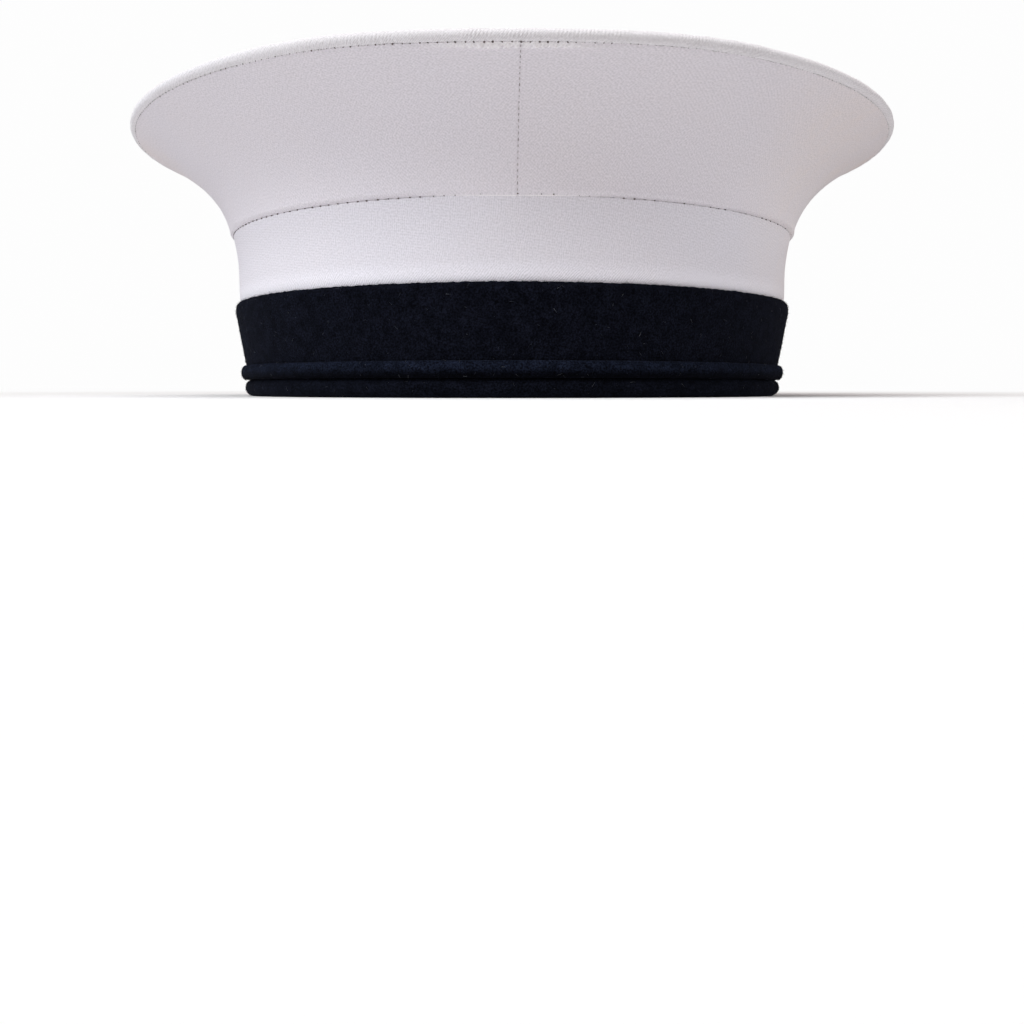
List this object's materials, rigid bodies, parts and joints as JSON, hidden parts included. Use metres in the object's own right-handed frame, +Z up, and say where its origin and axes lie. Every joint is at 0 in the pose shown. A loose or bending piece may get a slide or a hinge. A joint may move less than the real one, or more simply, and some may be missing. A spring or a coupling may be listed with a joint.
{
  "type": "sailor cap",
  "caption": "Round sailor cap with a flat white crown, flared stitched side, rolled rim, white stand and a navy wool band with a piped, turned-under lower edge; worn on the head.",
  "frame": {"origin": "under the middle of the cap, on the plane that the hem rests on", "axes": "+Z up through the crown, +Y towards the wearer's front, so the back seam faces -Y"},
  "size_m": [0.26, 0.2662, 0.0872],
  "materials": {
    "white_drill": "fine white cotton drill, matt",
    "white_bias_drill": "white cotton drill cut on the bias, matt",
    "navy_wool": "felted navy wool with a short nap"
  },
  "bodies": {
    "root": {"crown_top": "white_drill", "rim_welt": "white_bias_drill", "crown_side": "white_drill", "stand_band": "white_drill", "cap_band": "navy_wool", "band_piping": "navy_wool", "band_hem": "navy_wool"}
  },
  "joints": []
}
